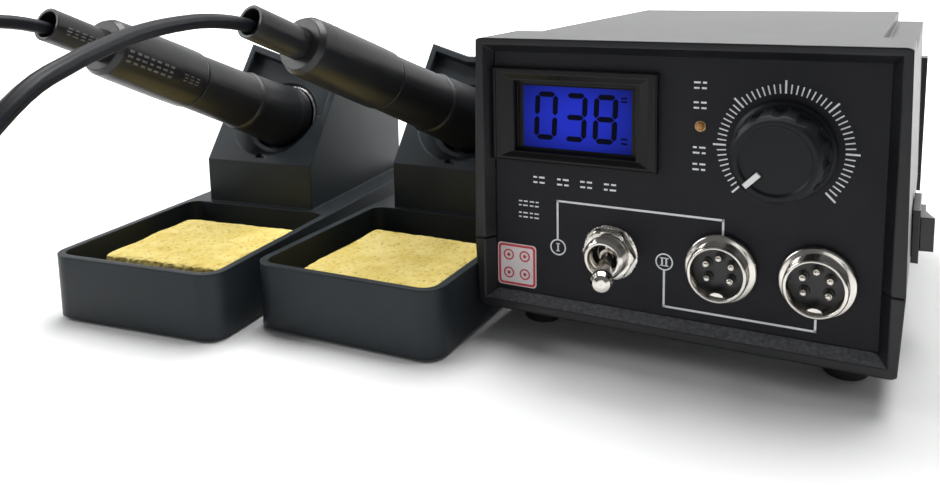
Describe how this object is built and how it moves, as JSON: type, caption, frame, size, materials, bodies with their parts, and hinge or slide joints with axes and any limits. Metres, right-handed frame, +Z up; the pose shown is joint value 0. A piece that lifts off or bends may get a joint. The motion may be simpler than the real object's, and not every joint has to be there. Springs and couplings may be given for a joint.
{
  "type": "soldering station",
  "caption": "Two-channel soldering station: black control unit with a blue digital meter, temperature knob, channel switch and round sockets, with two sponge-tray stands holding irons.",
  "frame": {"origin": "on the table, under the middle of the box around the control unit and the two stands", "axes": "+X to the right as seen from the front, -Y out of the control unit's front panel, +Z up"},
  "size_m": [0.3648, 0.365, 0.1034],
  "materials": {
    "case_plastic": "fine grained",
    "panel_plastic": "satin",
    "rubber_black": "matt",
    "zinc_steel": "zinc plated",
    "meter_plastic": "glossy",
    "display_blue": "lit from behind",
    "knob_plastic": "satin",
    "pointer_white": "gloss",
    "nickel": "bright nickel plate",
    "amber_lens": "translucent amber",
    "switch_plastic": "satin",
    "insert_plastic": "satin",
    "rocker_plastic": "semi-gloss",
    "core_steel": "varnished laminations",
    "winding_copper": "enamelled wire",
    "board_green": "solder mask",
    "sink_aluminium": "plain",
    "stand_plastic": "fine grained",
    "funnel_steel": "plain",
    "sponge_yellow": "cellulose sponge",
    "grip_rubber": "satin",
    "sleeve_black": "shrunk sleeve",
    "barrel_steel": "heat tinted",
    "tip_iron": "tinned",
    "cord_rubber": "limp blue-black jacket"
  },
  "bodies": {
    "control_unit": {"case_top_shell": "case_plastic", "case_bottom_shell": "case_plastic", "front_panel": "panel_plastic", "rear_panel": "panel_plastic", "case_feet": "rubber_black", "case_screws": "zinc_steel", "meter_housing": "meter_plastic", "meter_display": "display_blue", "potentiometer_body": "zinc_steel", "potentiometer_nut": "nickel", "indicator_led": "amber_lens", "toggle_body": "switch_plastic", "toggle_bush": "nickel", "toggle_nut": "nickel", "rocker_frame": "rocker_plastic", "mains_gland": "rubber_black", "transformer_core": "core_steel", "transformer_winding": "winding_copper", "control_board": "board_green", "heat_sink": "sink_aluminium", "socket_1_shell": "nickel", "socket_1_insert": "insert_plastic", "socket_1_pins": "nickel", "socket_1_nut": "nickel", "socket_2_shell": "nickel", "socket_2_insert": "insert_plastic", "socket_2_pins": "nickel", "socket_2_nut": "nickel"},
    "knob": {"temperature_knob": "knob_plastic", "knob_pointer": "pointer_white", "potentiometer_shaft": "sink_aluminium"},
    "toggle": {"toggle_lever": "nickel"},
    "rocker": {"rocker_button": "rocker_plastic"},
    "holder_1": {"stand_1": "stand_plastic", "stand_1_funnel": "funnel_steel", "stand_1_feet": "rubber_black", "cord_1_coil": "cord_rubber", "plug_1": "nickel"},
    "iron_1": {"iron_1_grip": "grip_rubber", "iron_1_sleeve": "sleeve_black", "iron_1_tail": "grip_rubber", "iron_1_barrel": "barrel_steel", "iron_1_nut": "barrel_steel", "iron_1_tip": "tip_iron", "cord_1": "cord_rubber"},
    "cleaning_sponge_1": {"sponge_1": "sponge_yellow"},
    "holder_2": {"stand_2": "stand_plastic", "stand_2_funnel": "funnel_steel", "stand_2_feet": "rubber_black", "cord_2_coil": "cord_rubber", "plug_2": "nickel"},
    "iron_2": {"iron_2_grip": "grip_rubber", "iron_2_sleeve": "sleeve_black", "iron_2_tail": "grip_rubber", "iron_2_barrel": "barrel_steel", "iron_2_nut": "barrel_steel", "iron_2_tip": "tip_iron", "cord_2": "cord_rubber"},
    "cleaning_sponge_2": {"sponge_2": "sponge_yellow"}
  },
  "joints": [
    {"name": "temperature_turn", "type": "hinge", "parent": "control_unit", "child": "knob", "pos_m": [0.1011, -0.0529, 0.0646], "axis": [0, 1, 0], "range_deg": [0, 270]},
    {"name": "channel_switch", "type": "hinge", "parent": "control_unit", "child": "toggle", "pos_m": [0.0548, -0.0479, 0.0304], "axis": [0, 0, -1], "range_deg": [0, 30]},
    {"name": "power_switch", "type": "hinge", "parent": "control_unit", "child": "rocker", "pos_m": [0.1299, 0.0051, 0.0337], "axis": [0, 0, -1], "range_deg": [0, 18]},
    {"name": "stand_1_lift", "type": "slide", "parent": "control_unit", "child": "holder_1", "axis": [0, 0, 1], "range_m": [0, 0.02]},
    {"name": "sponge_1_lift", "type": "slide", "parent": "holder_1", "child": "cleaning_sponge_1", "axis": [0, 0, 1], "range_m": [0, 0.025]},
    {"name": "iron_1_pull", "type": "slide", "parent": "holder_1", "child": "iron_1", "axis": [0.0144, -0.919, 0.3939], "range_m": [0, 0.085]},
    {"name": "stand_2_lift", "type": "slide", "parent": "control_unit", "child": "holder_2", "axis": [0, 0, 1], "range_m": [0, 0.02]},
    {"name": "sponge_2_lift", "type": "slide", "parent": "holder_2", "child": "cleaning_sponge_2", "axis": [0, 0, 1], "range_m": [0, 0.025]},
    {"name": "iron_2_pull", "type": "slide", "parent": "holder_2", "child": "iron_2", "axis": [-0.1327, -0.9095, 0.3939], "range_m": [0, 0.085]}
  ]
}
